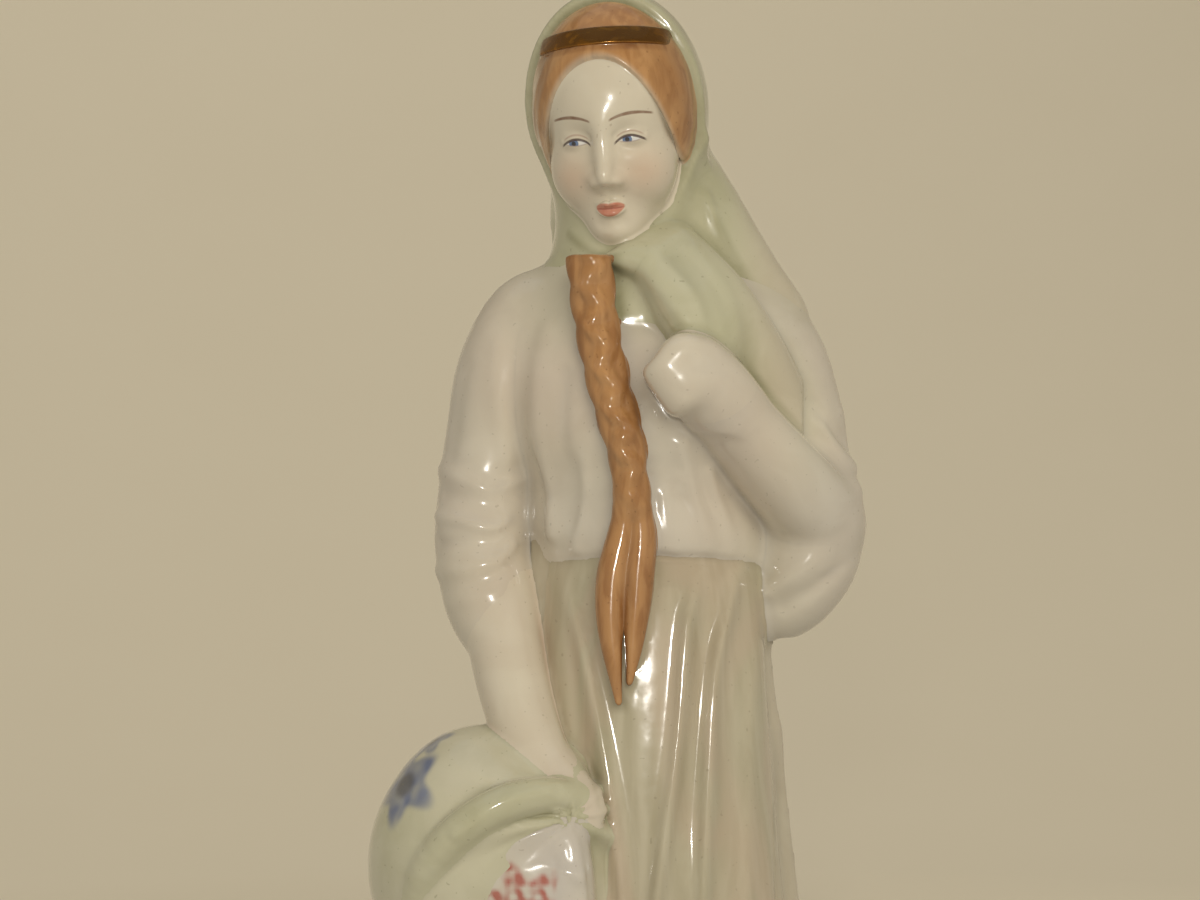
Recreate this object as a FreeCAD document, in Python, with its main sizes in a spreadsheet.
"""Porcelain figurine of a standing woman in a headscarf, carrying a tied bundle.

The figure is slip cast as separate hollow and solid pieces, which are luted together
with slip before firing. Each casting here is one solid, cut to meet its neighbours
face to face. Millimetres, +Z up, front towards -Y, origin under the plinth's centre.
"""
import FreeCAD, Part
import Sketcher
import math
import os

V = FreeCAD.Vector

SIZES = [
    ("plinth_length", 74.0),
    ("plinth_depth", 61.0),
    ("plinth_height", 7.0),
    ("plinth_edge_radius", 2.2),
    ("foot_rim_width", 5.0),
    ("foot_recess_depth", 1.2),
    ("vent_diameter", 3.5),
    ("register_height", 2.5),
    ("casting_wall", 2.8),
    ("joint_gap", 0.2),
    ("skirt_length", 132.0),
    ("hem_half_width", 33.0),
    ("hem_half_depth", 27.0),
    ("calf_half_width", 28.0),
    ("calf_half_depth", 23.6),
    ("knee_half_width", 23.4),
    ("knee_half_depth", 20.2),
    ("hip_half_width", 18.8),
    ("hip_half_depth", 16.6),
    ("waist_half_width", 16.4),
    ("waist_half_depth", 13.4),
    ("fold_count", 15.0),
    ("hem_fold_depth", 1.5),
    ("waist_fold_depth", 0.25),
    ("fold_spread", 0.11),
    ("fold_turn", 0.1),
    ("apron_thickness", 1.1),
    ("apron_top_half_width", 15.6),
    ("apron_hem_half_width", 20.0),
    ("apron_hem_gap", 15.0),
    ("apron_ridge_radius", 1.7),
    ("apron_ridge_height", 1.2),
    ("waist_shift", 1.8),
    ("body_lean", 4.6),
    ("rib_rise", 8.0),
    ("bust_rise", 17.0),
    ("armpit_rise", 27.0),
    ("shoulder_rise", 34.5),
    ("neck_base_rise", 40.0),
    ("neck_top_rise", 44.0),
    ("rib_half_width", 17.2),
    ("rib_half_depth", 13.9),
    ("bust_half_width", 19.2),
    ("bust_half_depth", 14.6),
    ("armpit_half_width", 19.4),
    ("armpit_half_depth", 13.4),
    ("shoulder_half_width", 17.0),
    ("shoulder_half_depth", 11.4),
    ("neck_base_half_width", 12.0),
    ("neck_base_half_depth", 9.4),
    ("neck_top_half_width", 8.6),
    ("neck_top_half_depth", 8.0),
    ("neck_radius", 5.6),
    ("head_rise", 64.0),
    ("head_forward", 2.6),
    ("head_side", 0.8),
    ("head_turn", 12.0),
    ("head_bow", 14.0),
    ("head_tilt", 4.0),
    ("cranium_half_width", 12.1),
    ("cranium_half_depth", 13.2),
    ("cranium_half_height", 15.4),
    ("face_half_width", 8.8),
    ("face_half_depth", 9.8),
    ("face_half_height", 13.0),
    ("face_forward", 3.6),
    ("face_drop", 6.4),
    ("nose_length", 3.2),
    ("nose_half_width", 1.2),
    ("hood_thickness", 1.4),
    ("hood_back", 0.8),
    ("hood_rim_forward", 1.5),
    ("gilt_thickness", 0.4),
    ("gilt_width", 3.0),
    ("gilt_rise", 12.0),
    ("scarf_collar_radius", 11.4),
    ("scarf_skirt_radius", 14.6),
    ("scarf_fold_radius", 7.6),
    ("scarf_end_radius", 4.6),
    ("scarf_back_length", 34.0),
    ("scarf_back_half_width", 11.0),
    ("scarf_back_thickness", 3.4),
    ("right_shoulder_out", 13.4),
    ("left_shoulder_out", 15.2),
    ("right_elbow_out", 8.8),
    ("right_elbow_forward", 2.6),
    ("right_elbow_drop", 34.0),
    ("right_hand_in", 16.4),
    ("right_hand_forward", 17.4),
    ("right_hand_drop", 36.6),
    ("left_elbow_out", 11.6),
    ("left_elbow_forward", 4.0),
    ("left_elbow_drop", 30.6),
    ("left_hand_in", 17.4),
    ("left_hand_forward", 13.2),
    ("left_hand_rise", 21.4),
    ("shoulder_cap_radius", 6.4),
    ("upper_sleeve_radius", 7.0),
    ("elbow_sleeve_radius", 7.2),
    ("cuff_radius", 5.8),
    ("pouch_drop", 13.5),
    ("pouch_radius", 6.6),
    ("forearm_radius", 4.8),
    ("wrist_radius", 3.7),
    ("left_forearm_radius", 6.4),
    ("left_wrist_radius", 4.6),
    ("hand_length", 11.0),
    ("hand_width", 8.4),
    ("thumb_diameter", 2.8),
    ("braid_length", 62.0),
    ("braid_width", 6.4),
    ("braid_pitch", 4.6),
    ("braid_tail_share", 0.46),
    ("tail_tip_radius", 0.7),
    ("bundle_half_width", 19.2),
    ("bundle_half_depth", 15.4),
    ("bundle_half_height", 21.0),
    ("bundle_out", 12.9),
    ("bundle_drop", 9.0),
    ("bundle_behind", 6.4),
    ("knot_end_radius", 3.3),
    ("knot_tip_radius", 1.2),
]

doc = FreeCAD.newDocument("Figurine")
sheet = doc.addObject("Spreadsheet::Sheet", "Sizes")
for row, (alias, value) in enumerate(SIZES, start=1):
    sheet.set("A%d" % row, alias)
    sheet.set("B%d" % row, str(value))
    sheet.setAlias("B%d" % row, alias)
doc.recompute()


def size(alias):
    """The number in the sheet's cell of that alias."""
    return float(sheet.get(alias))


def cell(alias):
    """The same cell, as an expression."""
    return "Sizes." + alias


WAIST_Z = size("plinth_height") + size("skirt_length")
HEM_Z = size("plinth_height")


def mix(low, high, share):
    return low + (high - low) * share


def feature(name, shape):
    made = doc.addObject("Part::Feature", name)
    made.Shape = shape
    return made


def oval(name, half_width, half_depth, centre):
    """A level ellipse whose radii follow two expressions."""
    made = doc.addObject("Part::Ellipse", name)
    made.setExpression("MajorRadius", half_width)
    made.setExpression("MinorRadius", half_depth)
    made.Placement.Base = centre
    return made


def loft(name, sections, straight=False):
    made = doc.addObject("Part::Loft", name)
    made.Sections = sections
    made.Solid = True
    made.Ruled = straight
    return made


def ellipsoid(name, half_width, half_depth, half_height, placement):
    made = doc.addObject("Part::Ellipsoid", name)
    made.setExpression("Radius1", half_height)
    made.setExpression("Radius2", half_width)
    made.setExpression("Radius3", half_depth)
    made.Placement = placement
    return made


def fuse(name, parts):
    made = doc.addObject("Part::MultiFuse", name)
    made.Shapes = parts
    made.Refine = False
    return made


def cut(name, base, tools):
    """The base less each tool in turn, as a chain of cuts whose last one has the name."""
    made = base
    for number, tool in enumerate(tools, start=1):
        step = doc.addObject("Part::Cut", "%s_cut_%d" % (name, number))
        step.Base = made
        step.Tool = tool
        step.Refine = False
        made = step
    made.Label = name
    return made


def common(name, base, tool):
    made = doc.addObject("Part::Common", name)
    made.Base = base
    made.Tool = tool
    made.Refine = False
    return made


def upright(direction):
    """A rotation that points local Z along a direction, with local X kept level."""
    along = V(direction).normalize()
    side = V(0, 1, 0).cross(along)
    if side.Length < 0.2:
        side = V(1, 0, 0)
    side.normalize()
    return FreeCAD.Rotation(side, along.cross(side), along, "ZXY")


def limb(name, points, radii):
    """A round limb through points, each with its radius as an expression."""
    sections = []
    last = len(points) - 1
    for number, (point, radius) in enumerate(zip(points, radii)):
        before = points[max(number - 1, 0)]
        after = points[min(number + 1, last)]
        ring = doc.addObject("Part::Circle", "%s_ring_%d" % (name, number + 1))
        ring.setExpression("Radius", radius)
        ring.Placement = FreeCAD.Placement(point, upright(after - before))
        sections.append(ring)
    return loft(name + "_tube", sections)


# Skirt and torso outlines. Each station has a share of the height, its radii and its centre.

SKIRT_STATIONS = [
    (0.00, "hem"),
    (0.25, "calf"),
    (0.50, "knee"),
    (0.78, "hip"),
    (1.00, "waist"),
]
TORSO_STATIONS = ["waist", "rib", "bust", "armpit", "shoulder", "neck_base", "neck_top"]
BUST_FORWARD = {"waist": 0.0, "rib": 0.3, "bust": 0.9, "armpit": 0.5}


def skirt_centre(share):
    return V(size("waist_shift") * share, 0, mix(HEM_Z, WAIST_Z, share))


def torso_rise(station):
    return 0.0 if station == "waist" else size(station + "_rise")


def torso_centre(station):
    """The body leans to its right as it rises."""
    share = torso_rise(station) / size("neck_top_rise")
    side = size("waist_shift") - size("body_lean") * share
    return V(side, -BUST_FORWARD.get(station, 0.0), WAIST_Z + torso_rise(station))


def torso_front(height):
    """The Y of the body's front at a height, between the stations, skirt included."""
    stations = []
    for share, station in SKIRT_STATIONS[:-1]:
        stations.append((skirt_centre(share), size(station + "_half_depth")))
    for station in TORSO_STATIONS:
        stations.append((torso_centre(station), size(station + "_half_depth")))
    for (low, low_depth), (high, high_depth) in zip(stations, stations[1:]):
        if low.z <= height <= high.z:
            share = (height - low.z) / (high.z - low.z)
            return mix(low.y - low_depth, high.y - high_depth, share)
    return stations[-1][0].y - stations[-1][1]


def fold_angle(even, share):
    """Spreads evenly numbered folds unevenly round the skirt, and turns them towards the hem."""
    spread = size("fold_spread")
    uneven = spread * math.sin(2 * even + 0.9) + 0.45 * spread * math.sin(3 * even - 1.3)
    return even + uneven + size("fold_turn") * (1 - share)


def fluted_ring(name, share, station):
    """A skirt outline: an ellipse with folds, deeper towards the hem."""
    half_width = size(station + "_half_width")
    half_depth = size(station + "_half_depth")
    fold = mix(size("hem_fold_depth"), size("waist_fold_depth"), share)
    folds = round(size("fold_count"))
    points_per_fold = 4
    centre = skirt_centre(share)
    points = []
    for number in range(folds * points_per_fold):
        even = 2 * math.pi * number / (folds * points_per_fold)
        wave = fold * math.cos(folds * even)
        angle = fold_angle(even, share)
        point = V(
            -(half_width + wave) * math.sin(angle),
            (half_depth + wave) * math.cos(angle),
            0,
        )
        points.append(centre + point)
    curve = Part.BSplineCurve()
    curve.interpolate(points, PeriodicFlag=True)
    return feature(name, Part.Wire(curve.toShape()))


def fluted_loft(name):
    rings = []
    for share, station in SKIRT_STATIONS:
        rings.append(fluted_ring("%s_%s" % (name, station), share, station))
    return loft(name, rings)


def smooth_skirt(name, change):
    """A loft inside or outside the folds: the change is an expression with the fold depth."""
    rings = []
    for share, station in SKIRT_STATIONS:
        fold = "(%s * Sizes.hem_fold_depth + %s * Sizes.waist_fold_depth)"
        fold = fold % (round(1 - share, 2), round(share, 2))
        rings.append(
            oval(
                "%s_%s" % (name, station),
                cell(station + "_half_width") + change % fold,
                cell(station + "_half_depth") + change % fold,
                skirt_centre(share),
            )
        )
    return loft(name, rings)


def torso_loft(name, inset):
    """The blouse body, or with an inset its hollow, which leaves a ledge at the waist."""
    rings = []
    for station in TORSO_STATIONS:
        step_in = "2 * " + inset if station == "waist" else inset
        rings.append(
            oval(
                "%s_%s" % (name, station),
                "%s - %s" % (cell(station + "_half_width"), step_in),
                "%s - %s" % (cell(station + "_half_depth"), step_in),
                torso_centre(station),
            )
        )
    return loft(name, rings)


def waist_register(name, inset, rise):
    """The torso's lower lip, which drops into the skirt's mouth with the joint gap all round."""
    wall = "Sizes.waist_half_%s - Sizes.waist_fold_depth - Sizes.casting_wall - Sizes.joint_gap"
    rings = []
    for number, height in enumerate((-size("register_height"), rise), start=1):
        rings.append(
            oval(
                "%s_%d" % (name, number),
                wall % "width" + inset,
                wall % "depth" + inset,
                torso_centre("waist") + V(0, 0, height),
            )
        )
    return loft(name, rings)


# Plinth: a padded oval with a rounded top edge, a register step, a recessed foot and a vent.


def plinth():
    body = doc.addObject("PartDesign::Body", "plinth")
    level = [f for f in body.Origin.OriginFeatures if f.Role == "XY_Plane"][0]

    def oval_sketch(name, length, depth, height):
        sketch = body.newObject("Sketcher::SketchObject", name)
        sketch.AttachmentSupport = [(level, "")]
        sketch.MapMode = "FlatFace"
        sketch.setExpression("AttachmentOffset.Base.z", height)
        outline = sketch.addGeometry(Part.Ellipse(V(0, 0, 0), 10, 8), False)
        sketch.exposeInternalGeometry(outline)
        sketch.addConstraint(Sketcher.Constraint("Coincident", outline, 3, -1, 1))
        sketch.addConstraint(Sketcher.Constraint("Horizontal", outline + 1))
        sketch.addConstraint(Sketcher.Constraint("Distance", outline + 1, 20.0))
        sketch.renameConstraint(sketch.ConstraintCount - 1, "length")
        sketch.addConstraint(Sketcher.Constraint("Distance", outline + 2, 16.0))
        sketch.renameConstraint(sketch.ConstraintCount - 1, "depth")
        sketch.setExpression("Constraints.length", length)
        sketch.setExpression("Constraints.depth", depth)
        doc.recompute()
        return sketch

    slab = body.newObject("PartDesign::Pad", "plinth_slab")
    slab.Profile = oval_sketch("slab_outline", cell("plinth_length"), cell("plinth_depth"), "0")
    slab.setExpression("Length", cell("plinth_height"))
    doc.recompute()

    edge = body.newObject("PartDesign::Fillet", "plinth_edge")
    top = max(range(len(slab.Shape.Edges)), key=lambda i: slab.Shape.Edges[i].BoundBox.ZMin)
    edge.Base = (slab, ["Edge%d" % (top + 1)])
    edge.setExpression("Radius", cell("plinth_edge_radius"))
    doc.recompute()

    step = body.newObject("PartDesign::Pad", "skirt_register")
    step.Profile = oval_sketch(
        "register_outline", register_span("width"), register_span("depth"), cell("plinth_height")
    )
    step.setExpression("Length", cell("register_height"))
    doc.recompute()

    rim = " - 2 * Sizes.foot_rim_width"
    foot = body.newObject("PartDesign::Pocket", "foot_recess")
    foot.Profile = oval_sketch(
        "foot_outline", cell("plinth_length") + rim, cell("plinth_depth") + rim, "0"
    )
    foot.Reversed = True
    foot.setExpression("Length", cell("foot_recess_depth"))
    doc.recompute()

    vent = body.newObject("PartDesign::Pocket", "kiln_vent")
    circle = body.newObject("Sketcher::SketchObject", "vent_outline")
    circle.AttachmentSupport = [(level, "")]
    circle.MapMode = "FlatFace"
    circle.addGeometry(Part.Circle(V(0, 0, 0), V(0, 0, 1), 2), False)
    circle.addConstraint(Sketcher.Constraint("Coincident", 0, 3, -1, 1))
    circle.addConstraint(Sketcher.Constraint("Diameter", 0, 4.0))
    circle.setExpression("Constraints[1]", cell("vent_diameter"))
    doc.recompute()
    vent.Profile = circle
    vent.Reversed = True
    vent.Type = "ThroughAll"
    body.Tip = vent
    doc.recompute()
    if not vent.Shape.Volume < foot.Shape.Volume < step.Shape.Volume:
        raise RuntimeError("the foot recess or the vent cuts nothing")
    return body


def register_span(way):
    """The register's full width or depth: the skirt's hollow at the register's top, less a gap."""
    hem = cell("hem_half_" + way)
    draft = "(%s - %s)" % (hem, cell("calf_half_" + way))
    draft += " * Sizes.register_height / (%s * Sizes.skirt_length)" % SKIRT_STATIONS[1][0]
    walls = "Sizes.hem_fold_depth + Sizes.casting_wall + 2 * Sizes.joint_gap"
    return "2 * (%s - %s - (%s))" % (hem, draft, walls)


# Apron: a raised panel on the skirt's front.


def apron_panel():
    """The front of a slightly larger skirt, inside a tapered outline with round corners."""
    skin = smooth_skirt("apron_skin", " + %s + Sizes.apron_thickness")
    low = HEM_Z + size("apron_hem_gap")
    top_half = size("apron_top_half_width")
    hem_half = size("apron_hem_half_width")
    corner = hem_half * 0.4
    shift = size("waist_shift")
    front = -size("hem_half_depth") - 10
    left_low = V(shift - hem_half, front, low + corner)
    right_low = V(shift + hem_half, front, low + corner)
    bottom_left = V(shift - hem_half + corner, front, low)
    bottom_right = V(shift + hem_half - corner, front, low)
    drop = corner * (1 - math.sqrt(0.5))
    left_arc = V(shift - hem_half + drop, front, low + drop)
    right_arc = V(shift + hem_half - drop, front, low + drop)
    top_left = V(shift - top_half, front, WAIST_Z)
    top_right = V(shift + top_half, front, WAIST_Z)
    edges = [
        Part.LineSegment(top_left, left_low).toShape(),
        Part.Arc(left_low, left_arc, bottom_left).toShape(),
        Part.LineSegment(bottom_left, bottom_right).toShape(),
        Part.Arc(bottom_right, right_arc, right_low).toShape(),
        Part.LineSegment(right_low, top_right).toShape(),
        Part.LineSegment(top_right, top_left).toShape(),
    ]
    outline = feature("apron_outline", Part.Wire(edges))
    prism = doc.addObject("Part::Extrusion", "apron_prism")
    prism.Base = outline
    prism.Dir = V(0, 1, 0)
    prism.LengthFwd = -front - size("waist_half_depth") * 0.35
    prism.Solid = True
    return common("apron_panel", skin, prism)


# The apron's pressed ridges, each a line of places across the front at heights above the base.
APRON_RIDGES = [
    [(-9.9, 131), (-8.4, 124), (-6.2, 114)],
    [(6.8, 131), (5.2, 112), (3.2, 98), (1.2, 84)],
    [(13.0, 132), (10.6, 122), (9.6, 106), (8.6, 86)],
    [(-6.4, 80), (-9.0, 55), (-10.5, 34)],
    [(1.7, 79), (1.6, 55), (2.2, 32)],
    [(9.0, 80), (11.0, 55), (12.8, 34)],
]


def apron_front(across, height):
    """A point on the apron panel's front."""
    share = (height - HEM_Z) / size("skirt_length")
    stations = zip(SKIRT_STATIONS, SKIRT_STATIONS[1:])
    low, high = [pair for pair in stations if pair[0][0] <= share <= pair[1][0]][0]
    part = (share - low[0]) / (high[0] - low[0])
    cover = mix(size("hem_fold_depth"), size("waist_fold_depth"), share) + size("apron_thickness")
    width = mix(size(low[1] + "_half_width"), size(high[1] + "_half_width"), part) + cover
    depth = mix(size(low[1] + "_half_depth"), size(high[1] + "_half_depth"), part) + cover
    side = (across - skirt_centre(share).x) / width
    return V(across, -depth * math.sqrt(1 - side * side), height)


def ridged_apron(panel):
    sunk = V(0, size("apron_ridge_radius") - size("apron_ridge_height"), 0)
    ridges = []
    for number, line in enumerate(APRON_RIDGES, start=1):
        points = [apron_front(across, height) + sunk for across, height in line]
        radii = [cell("apron_ridge_radius")] * (len(points) - 2)
        ends = ["Sizes.apron_ridge_radius * 0.5"]
        ridges.append(limb("apron_ridge_%d" % number, points, ends + radii + ends))
    return fuse("apron_blank", [panel] + ridges)


# Arms. A shoulder point, an elbow and a hand are set by offsets from each other.


RIGHT_SHOULDER = torso_centre("shoulder") + V(-size("right_shoulder_out"), 1.0, 0.5)
LEFT_SHOULDER = torso_centre("shoulder") + V(size("left_shoulder_out"), 1.0, 0.5)
RIGHT_ELBOW = RIGHT_SHOULDER + V(
    -size("right_elbow_out"), -size("right_elbow_forward"), -size("right_elbow_drop")
)
LEFT_ELBOW = LEFT_SHOULDER + V(
    size("left_elbow_out"), -size("left_elbow_forward"), -size("left_elbow_drop")
)
RIGHT_HAND = RIGHT_ELBOW + V(
    size("right_hand_in"), -size("right_hand_forward"), -size("right_hand_drop")
)
LEFT_HAND = LEFT_ELBOW + V(
    -size("left_hand_in"), -size("left_hand_forward"), size("left_hand_rise")
)


def hand(name, centre, direction, thumb_side):
    """A closed hand: a palm that rounds off at the knuckles, and a thumb beside it."""
    place = FreeCAD.Placement(centre, upright(direction))
    half = size("hand_length") / 2
    palm = limb(
        name + "_palm",
        [place.multVec(V(0, 0, share * half)) for share in (-1.0, -0.3, 0.5, 1.0)],
        ["Sizes.hand_width * %s" % share for share in (0.4, 0.5, 0.47, 0.22)],
    )
    out = thumb_side * size("hand_width") * 0.4
    thumb = limb(
        name + "_thumb",
        [place.multVec(V(out, -0.5 * half, share * half)) for share in (-0.6, 0.0, 0.5)],
        ["Sizes.thumb_diameter * %s" % share for share in (0.5, 0.5, 0.3)],
    )
    return fuse(name + "_solid", [palm, thumb])


# Head: cranium, face, nose, chin and neck, in a frame that turns, bows and tilts.

NECK = torso_centre("neck_top")
HEAD = FreeCAD.Placement(
    V(NECK.x - size("head_side"), -size("head_forward"), WAIST_Z + size("head_rise")),
    FreeCAD.Rotation(-size("head_turn"), -size("head_tilt"), size("head_bow")),
)


def on_head(x, y, z, rotation=None):
    return HEAD.multiply(FreeCAD.Placement(V(x, y, z), rotation or FreeCAD.Rotation()))


def head_solid():
    cranium = ellipsoid(
        "cranium",
        cell("cranium_half_width"),
        cell("cranium_half_depth"),
        cell("cranium_half_height"),
        on_head(0, 0, 0),
    )
    face = ellipsoid(
        "face",
        cell("face_half_width"),
        cell("face_half_depth"),
        cell("face_half_height"),
        on_head(0, -size("face_forward"), -size("face_drop")),
    )
    front = -size("face_forward") - size("face_half_depth")
    nose = ellipsoid(
        "nose",
        cell("nose_half_width"),
        "Sizes.nose_half_width * 1.3",
        "Sizes.nose_length / 2 + 0.6",
        on_head(0, front + 0.4, -size("face_drop") - 0.6, FreeCAD.Rotation(V(1, 0, 0), -12)),
    )
    chin = ellipsoid(
        "chin",
        "Sizes.face_half_width * 0.42",
        "Sizes.face_half_width * 0.42",
        "Sizes.face_half_width * 0.4",
        on_head(0, front * 0.72, -size("face_drop") - size("face_half_height") * 0.72),
    )
    neck = doc.addObject("Part::Cylinder", "neck")
    neck.setExpression("Radius", cell("neck_radius"))
    neck.setExpression("Height", "Sizes.head_rise - Sizes.shoulder_rise - 6")
    neck.Placement.Base = V(NECK.x, NECK.y, WAIST_Z + size("shoulder_rise") + 2)
    return fuse("head_solid", [cranium, face, nose, chin, neck])


def head_hollow():
    inner = ellipsoid(
        "head_hollow",
        "Sizes.cranium_half_width - Sizes.casting_wall",
        "Sizes.cranium_half_depth - Sizes.casting_wall",
        "Sizes.cranium_half_height - Sizes.casting_wall",
        on_head(0, 0, 0),
    )
    bore = doc.addObject("Part::Cylinder", "neck_hollow")
    bore.setExpression("Radius", "Sizes.neck_radius - Sizes.casting_wall * 0.8")
    bore.setExpression("Height", "Sizes.head_rise - Sizes.shoulder_rise")
    bore.Placement.Base = V(NECK.x, NECK.y, WAIST_Z + size("shoulder_rise"))
    return fuse("head_hollow_solid", [inner, bore])


def hood_solid():
    """The scarf over the head: a shell that ends at a rim plane beside the face."""
    shell = ellipsoid(
        "hood_shell",
        "Sizes.cranium_half_width + Sizes.hood_thickness",
        "Sizes.cranium_half_depth + Sizes.hood_thickness",
        "Sizes.cranium_half_height + Sizes.hood_thickness",
        on_head(0, size("hood_back"), 0.4),
    )
    span = 60.0
    front = doc.addObject("Part::Box", "hood_front")
    front.Length = span
    front.Width = span
    front.Height = span
    front.Placement = on_head(-span / 2, -span - size("hood_rim_forward"), -span / 2)
    made = doc.addObject("Part::Cut", "hood_behind_rim")
    made.Base = shell
    made.Tool = front
    return made


def gilt_band():
    """A thin burnished band across the hair, just below the hood's rim."""
    skin = ellipsoid(
        "gilt_skin",
        "Sizes.cranium_half_width + Sizes.gilt_thickness",
        "Sizes.cranium_half_depth + Sizes.gilt_thickness",
        "Sizes.cranium_half_height + Sizes.gilt_thickness",
        on_head(0, 0, 0),
    )
    span = 40.0
    slab = doc.addObject("Part::Box", "gilt_slab")
    slab.Length = span
    slab.Width = span
    slab.setExpression("Height", cell("gilt_width"))
    lean = FreeCAD.Rotation(V(1, 0, 0), -18)
    slab.Placement = on_head(0, 0, size("gilt_rise"), lean).multiply(
        FreeCAD.Placement(V(-span / 2, -span, -size("gilt_width") / 2), FreeCAD.Rotation())
    )
    return common("gilt_blank", skin, slab)


# Scarf: a collar with a fold over the left shoulder, an end in the left hand, a fall behind.


def scarf_collar():
    """The scarf round the neck: it widens from under the chin down to the shoulders."""
    top = size("head_rise") - 0.85 * size("face_half_height")
    skirt = size("scarf_skirt_radius")
    collar = size("scarf_collar_radius")
    stations = [
        (size("shoulder_rise") - 1.0, skirt, size("shoulder_half_depth") + 1.0, -1.2),
        (size("neck_base_rise") - 0.5, skirt - 2.2, size("neck_base_half_depth") + 1.7, -2.0),
        (mix(size("neck_top_rise"), top, 0.25), collar, collar - 0.5, -3.2),
        (top, collar - 0.8, collar - 1.2, -3.8),
    ]
    rings = []
    for number, (rise, half_width, half_depth, side) in enumerate(stations, start=1):
        ring = doc.addObject("Part::Ellipse", "collar_%d" % number)
        ring.MajorRadius = half_width
        ring.MinorRadius = half_depth
        ring.Placement.Base = V(side, -0.2, WAIST_Z + rise)
        rings.append(ring)
    return loft("collar_tube", rings)


def scarf_fold():
    """The scarf's side, which runs down from the head to the left shoulder."""
    start = HEAD.Base + V(5.6, 5.6, -9.4)
    end = LEFT_SHOULDER + V(4.6, 1.0, -0.5)
    points = [start, mix(start, end, 0.36), mix(start, end, 0.7), end]
    return limb(
        "scarf_fold",
        points,
        [
            "Sizes.scarf_fold_radius + 0.4",
            cell("scarf_fold_radius"),
            "Sizes.scarf_fold_radius - 1",
            "Sizes.scarf_fold_radius - 2.8",
        ],
    )


def scarf_end():
    """The front end, from under the chin to the left hand."""
    chin = size("face_drop") + size("face_half_height")
    start = HEAD.Base + V(4.8, -6.8, -chin - 1.8)
    points = [
        start,
        mix(start, LEFT_HAND, 0.5) + V(1.5, 2.0, 0.6),
        LEFT_HAND + V(3.4, 5.0, -1.0),
    ]
    radii = [cell("scarf_end_radius") + change for change in (" + 0.6", " + 0.2", " - 0.8")]
    return limb("scarf_end", points, radii)


def scarf_back():
    """The pointed fall behind, from the nape to between the shoulder blades."""
    start = HEAD.Base + V(0.4, 10.2, -10.0)
    tip = V(NECK.x + 1.6, size("armpit_half_depth") + 1.2, start.z - size("scarf_back_length"))
    shares = [(0.0, 0.8, 1.1), (0.35, 1.0, 1.0), (0.7, 0.6, 0.8), (1.0, 0.14, 0.34)]
    rings = []
    for number, (share, wide, thick) in enumerate(shares, start=1):
        belly = 1.4 * math.sin(math.pi * share)
        ring = doc.addObject("Part::Ellipse", "fall_%d" % number)
        ring.setExpression("MajorRadius", "Sizes.scarf_back_half_width * %s" % wide)
        ring.setExpression("MinorRadius", "Sizes.scarf_back_thickness * %s" % (thick * 0.9))
        ring.Placement.Base = mix(start, tip, share) + V(0, belly, 0)
        rings.append(ring)
    return loft("fall_tube", rings)


# Braid: two rows of plaited lobes round a core, then two loose tails.

BRAID_SWAY = [
    (0.00, -9.4),
    (0.16, -8.3),
    (0.32, -5.9),
    (0.44, -3.6),
    (0.54, -3.3),
    (0.65, -4.0),
    (0.77, -5.5),
    (0.88, -5.8),
    (1.00, -4.7),
]


def braid_point(share, lift=0.0):
    """A point of the braid's centre line, which lies on the front of the figure."""
    for (low, left), (high, right) in zip(BRAID_SWAY, BRAID_SWAY[1:]):
        if low <= share <= high:
            side = mix(left, right, (share - low) / (high - low)) + size("waist_shift")
            break
    height = WAIST_Z + size("neck_top_rise") - 2.5 - share * size("braid_length")
    cover = size("apron_thickness") if height < WAIST_Z + 2 else 0.0
    if height > WAIST_Z + size("shoulder_rise") - 3:
        cover = 1.6
    return V(side, torso_front(height) - cover - lift, height)


def braid_plait():
    """The plaited part: a flat oval loft that narrows between one crossing and the next."""
    plaited = 1.0 - size("braid_tail_share")
    crossings = int(plaited * size("braid_length") / size("braid_pitch"))
    rings = []
    for number in range(2 * crossings + 1):
        swell = 1.0 if number % 2 else 0.8
        rings.append(
            oval(
                "plait_%d" % (number + 1),
                "Sizes.braid_width * %s" % (0.5 * swell),
                "Sizes.braid_width * %s" % (0.38 * swell),
                braid_point(plaited * number / (2.0 * crossings)),
            )
        )
    return loft("plait_tube", rings, straight=True)


def braid_tail(name, side, reach):
    """One loose tress below the plait: side is 1 or -1, reach is its end's share."""
    start = 1.0 - size("braid_tail_share") + 1.5 * size("joint_gap") / size("braid_length")
    points = []
    for share in (0.0, 0.3, 0.65, 1.0):
        spread = side * size("braid_width") * 0.27 * math.sin(math.pi * (0.35 + 0.55 * share))
        points.append(braid_point(mix(start, reach, share)) + V(spread, 0, 0))
    radii = ["Sizes.braid_width * %s" % share for share in (0.26, 0.34, 0.3)]
    return limb(name, points, radii + [cell("tail_tip_radius")])


# Bundle: a hollow knotted cloth bag that hangs from the right hand, with two knot ends.

BUNDLE = RIGHT_HAND + V(-size("bundle_out"), size("bundle_behind"), -size("bundle_drop"))


def bundle_solid():
    bag = ellipsoid(
        "bundle_bag",
        cell("bundle_half_width"),
        cell("bundle_half_depth"),
        cell("bundle_half_height"),
        FreeCAD.Placement(BUNDLE, FreeCAD.Rotation()),
    )
    gather = limb(
        "bundle_gather",
        [BUNDLE + V(1.5, -1.0, 3.0), mix(BUNDLE, RIGHT_HAND, 0.6), RIGHT_HAND + V(0, -0.5, -2.5)],
        [
            "Sizes.bundle_half_depth * 0.8",
            "Sizes.bundle_half_depth * 0.62",
            "Sizes.knot_end_radius + 1",
        ],
    )
    return fuse("bundle_blank", [bag, gather])


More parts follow.
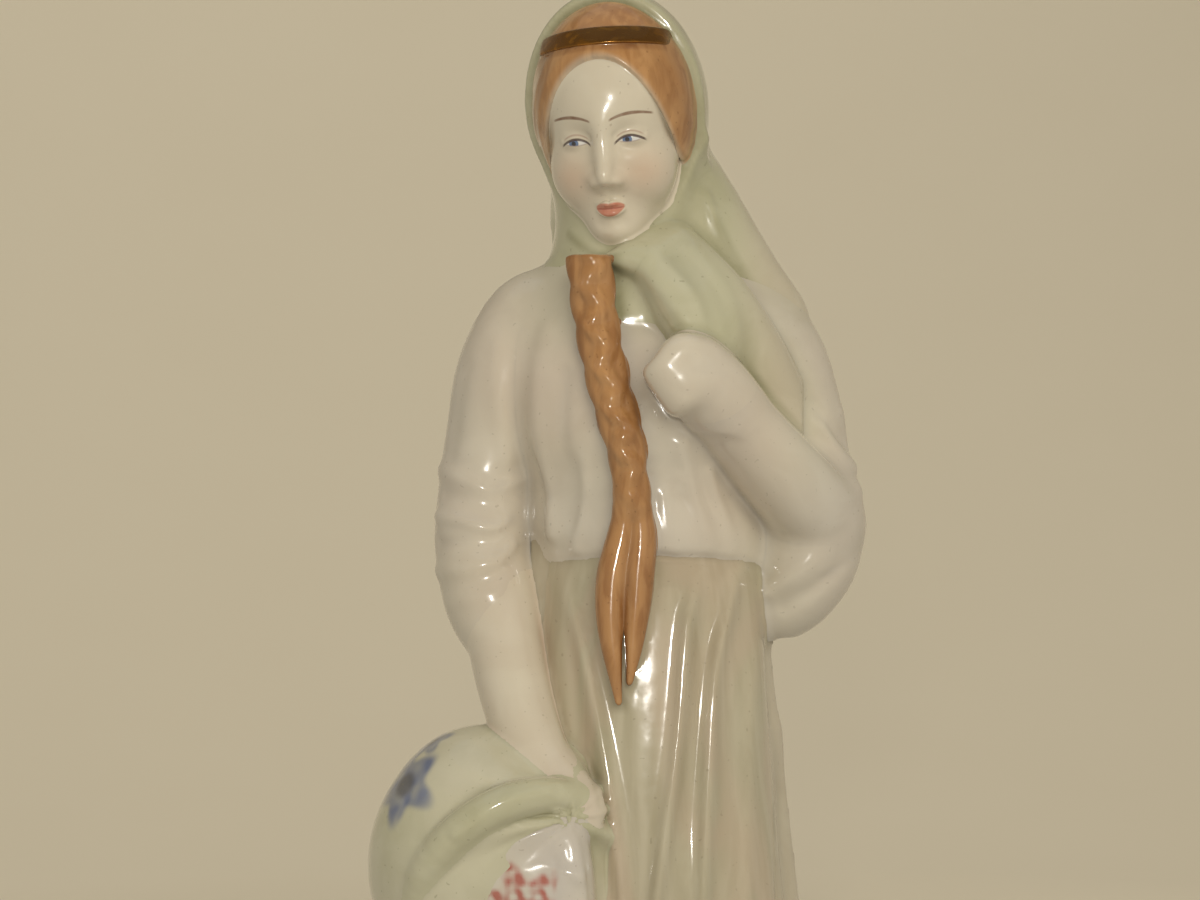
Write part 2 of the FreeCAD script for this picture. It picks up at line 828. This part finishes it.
def bundle_hollow():
    return ellipsoid(
        "bundle_hollow",
        "Sizes.bundle_half_width - Sizes.casting_wall",
        "Sizes.bundle_half_depth - Sizes.casting_wall",
        "Sizes.bundle_half_height - Sizes.casting_wall",
        FreeCAD.Placement(BUNDLE, FreeCAD.Rotation()),
    )


def on_bundle(across, up, stand_out=0.0):
    """A point on the bundle's front, by shares of its half width and half height."""
    depth = math.sqrt(max(0.0, 1 - across * across - up * up))
    return BUNDLE + V(
        across * size("bundle_half_width"),
        -depth * size("bundle_half_depth") - stand_out,
        up * size("bundle_half_height"),
    )


def knot_end(name, shares):
    points = [RIGHT_HAND + V(0, -2.6, -1.6)]
    points += [on_bundle(across, up, 0.6) for across, up in shares]
    return limb(
        name,
        points,
        [
            "Sizes.knot_end_radius * 0.8",
            cell("knot_end_radius"),
            "Sizes.knot_end_radius * 0.85",
            cell("knot_tip_radius"),
        ],
    )


# Assembly: solids first, then each casting cut to its neighbours.

plinth_body = plinth()

skirt_outer = fluted_loft("skirt_outer")
skirt = cut("skirt_casting", skirt_outer, [smooth_skirt("skirt_hollow", " - %s - Sizes.casting_wall")])
skirt_crests = smooth_skirt("skirt_crests", " + %s")
apron_smooth = apron_panel()
apron_blank = ridged_apron(apron_smooth)
apron = cut("apron", apron_blank, [skirt_outer])

torso_outer = torso_loft("torso_outer", "0")
neck_bore = doc.addObject("Part::Cylinder", "neck_bore")
neck_bore.setExpression("Radius", "Sizes.neck_radius + Sizes.joint_gap")
neck_bore.setExpression("Height", "Sizes.head_rise - Sizes.shoulder_rise")
neck_bore.Placement.Base = V(NECK.x, NECK.y, WAIST_Z + size("shoulder_rise"))
torso = cut(
    "torso_casting",
    fuse("torso_blank", [torso_outer, waist_register("waist_register", "", 1.0)]),
    [
        torso_loft("torso_hollow", cell("casting_wall")),
        waist_register("waist_register_bore", " - Sizes.casting_wall", 2.0),
        neck_bore,
    ],
)
torso_solid = cut("torso_with_neck_bore", torso_outer, [neck_bore])

head_blank = head_solid()
head = cut("head_casting", head_blank, [head_hollow()])
hood_blank = hood_solid()
hood = cut("headscarf_hood", hood_blank, [head_blank])
gilt = cut("gilt_headband", gilt_band(), [head_blank, hood_blank])

wrap_blank = fuse("scarf_wrap_blank", [scarf_collar(), scarf_fold()])
wrap = cut("scarf_wrap", wrap_blank, [torso_solid, head_blank, hood_blank])
fall = cut("scarf_back_fall", scarf_back(), [torso_outer, head_blank, hood_blank, wrap_blank])

right_forearm_blank = limb(
    "right_forearm",
    [
        mix(RIGHT_ELBOW, RIGHT_HAND, 0.12),
        mix(RIGHT_ELBOW, RIGHT_HAND, 0.5) + V(-1.2, 0.8, 0),
        mix(RIGHT_ELBOW, RIGHT_HAND, 0.9),
    ],
    [cell("forearm_radius"), "Sizes.forearm_radius * 0.94", cell("wrist_radius")],
)
right_hand_blank = hand("right_hand", RIGHT_HAND, V(0.3, -0.5, -1), -1)
right_sleeve_blank = limb(
    "right_sleeve",
    [
        RIGHT_SHOULDER + V(6, 0, -0.5),
        RIGHT_SHOULDER,
        mix(RIGHT_SHOULDER, RIGHT_ELBOW, 0.5) + V(-2.4, 0, 0),
        RIGHT_ELBOW,
        mix(RIGHT_ELBOW, RIGHT_HAND, 0.34),
    ],
    [
        "Sizes.shoulder_cap_radius * 0.9",
        cell("shoulder_cap_radius"),
        cell("upper_sleeve_radius"),
        cell("elbow_sleeve_radius"),
        cell("cuff_radius"),
    ],
)
right_sleeve = cut(
    "right_sleeve",
    right_sleeve_blank,
    [torso_outer, skirt_crests, right_forearm_blank, wrap_blank],
)
right_forearm = cut("right_forearm", right_forearm_blank, [skirt_crests, apron_smooth])
right_hand = cut("right_hand", right_hand_blank, [right_forearm_blank, skirt_crests, apron_smooth])

left_forearm_start = LEFT_ELBOW + V(0.2, -0.8, 0.4)
left_forearm_blank = limb(
    "left_forearm",
    [
        left_forearm_start,
        mix(left_forearm_start, LEFT_HAND, 0.45),
        mix(left_forearm_start, LEFT_HAND, 0.9),
    ],
    [cell("left_forearm_radius"), "Sizes.left_forearm_radius * 0.9", cell("left_wrist_radius")],
)
left_hand_blank = hand("left_hand", LEFT_HAND, LEFT_HAND - left_forearm_start, 1)
pouch_end = LEFT_ELBOW + V(-4.6, 0.4, -size("pouch_drop"))
left_sleeve_blank = limb(
    "left_sleeve",
    [
        LEFT_SHOULDER + V(-6, 0, -0.5),
        LEFT_SHOULDER,
        mix(LEFT_SHOULDER, LEFT_ELBOW, 0.5) + V(3.6, 2.4, 0.6),
        LEFT_ELBOW,
        mix(LEFT_ELBOW, pouch_end, 0.5) + V(1.0, 0, 0),
        pouch_end,
    ],
    [
        "Sizes.shoulder_cap_radius * 0.9",
        cell("shoulder_cap_radius"),
        cell("upper_sleeve_radius"),
        "Sizes.elbow_sleeve_radius * 1.05",
        cell("pouch_radius"),
        "Sizes.pouch_radius * 0.5",
    ],
)
left_sleeve = cut(
    "left_sleeve",
    left_sleeve_blank,
    [torso_outer, skirt_crests, left_forearm_blank, wrap_blank],
)
left_forearm = cut("left_forearm", left_forearm_blank, [torso_outer])
left_hand = cut("left_hand", left_hand_blank, [left_forearm_blank, torso_outer])
front_end = cut(
    "scarf_end",
    scarf_end(),
    [torso_outer, wrap_blank, left_hand_blank, left_forearm_blank],
)

plait_blank = braid_plait()
plait = cut("braid_plait", plait_blank, [torso_outer, wrap_blank, head_blank, apron_blank])
outer_tail_blank = braid_tail("braid_tail_outer", -1, 1.0)
outer_tail = cut("braid_tail_outer", outer_tail_blank, [torso_outer, apron_blank])
inner_tail = cut(
    "braid_tail_inner",
    braid_tail("braid_tail_inner", 1, 0.93),
    [outer_tail_blank, torso_outer, apron_blank],
)

bundle_blank = bundle_solid()
bundle = cut(
    "bundle_casting",
    bundle_blank,
    [bundle_hollow(), skirt_crests, apron_smooth, right_forearm_blank, right_hand_blank],
)
outer_knot_blank = knot_end("outer_end", [(0.0, 0.1), (-0.45, -0.2), (-0.72, -0.42)])
outer_knot = cut("bundle_knot_end_outer", outer_knot_blank, [bundle_blank, right_hand_blank])
inner_knot = cut(
    "bundle_knot_end_inner",
    knot_end("inner_end", [(0.56, 0.05), (0.5, -0.4), (0.3, -0.72)]),
    [bundle_blank, right_hand_blank, outer_knot_blank, skirt_crests, apron_smooth],
)

# Export.

PIECES = [
    plinth_body,
    skirt,
    apron,
    torso,
    head,
    hood,
    gilt,
    wrap,
    fall,
    front_end,
    right_sleeve,
    right_forearm,
    right_hand,
    left_sleeve,
    left_forearm,
    left_hand,
    plait,
    outer_tail,
    inner_tail,
    bundle,
    outer_knot,
    inner_knot,
]

doc.recompute()
for made in doc.Objects:
    if "Invalid" in made.State or "Error" in made.State:
        raise RuntimeError("%s failed: %s" % (made.Label, made.State))
os.makedirs("parts", exist_ok=True)
for piece in PIECES:
    shape = piece.Shape
    if shape.isNull() or not shape.isValid() or len(shape.Solids) != 1:
        raise RuntimeError("%s is not one valid solid" % piece.Label)
    print("%-24s volume %8.1f mm3" % (piece.Label, shape.Volume))
    shape.exportStep(os.path.join("parts", piece.Label + ".step"))
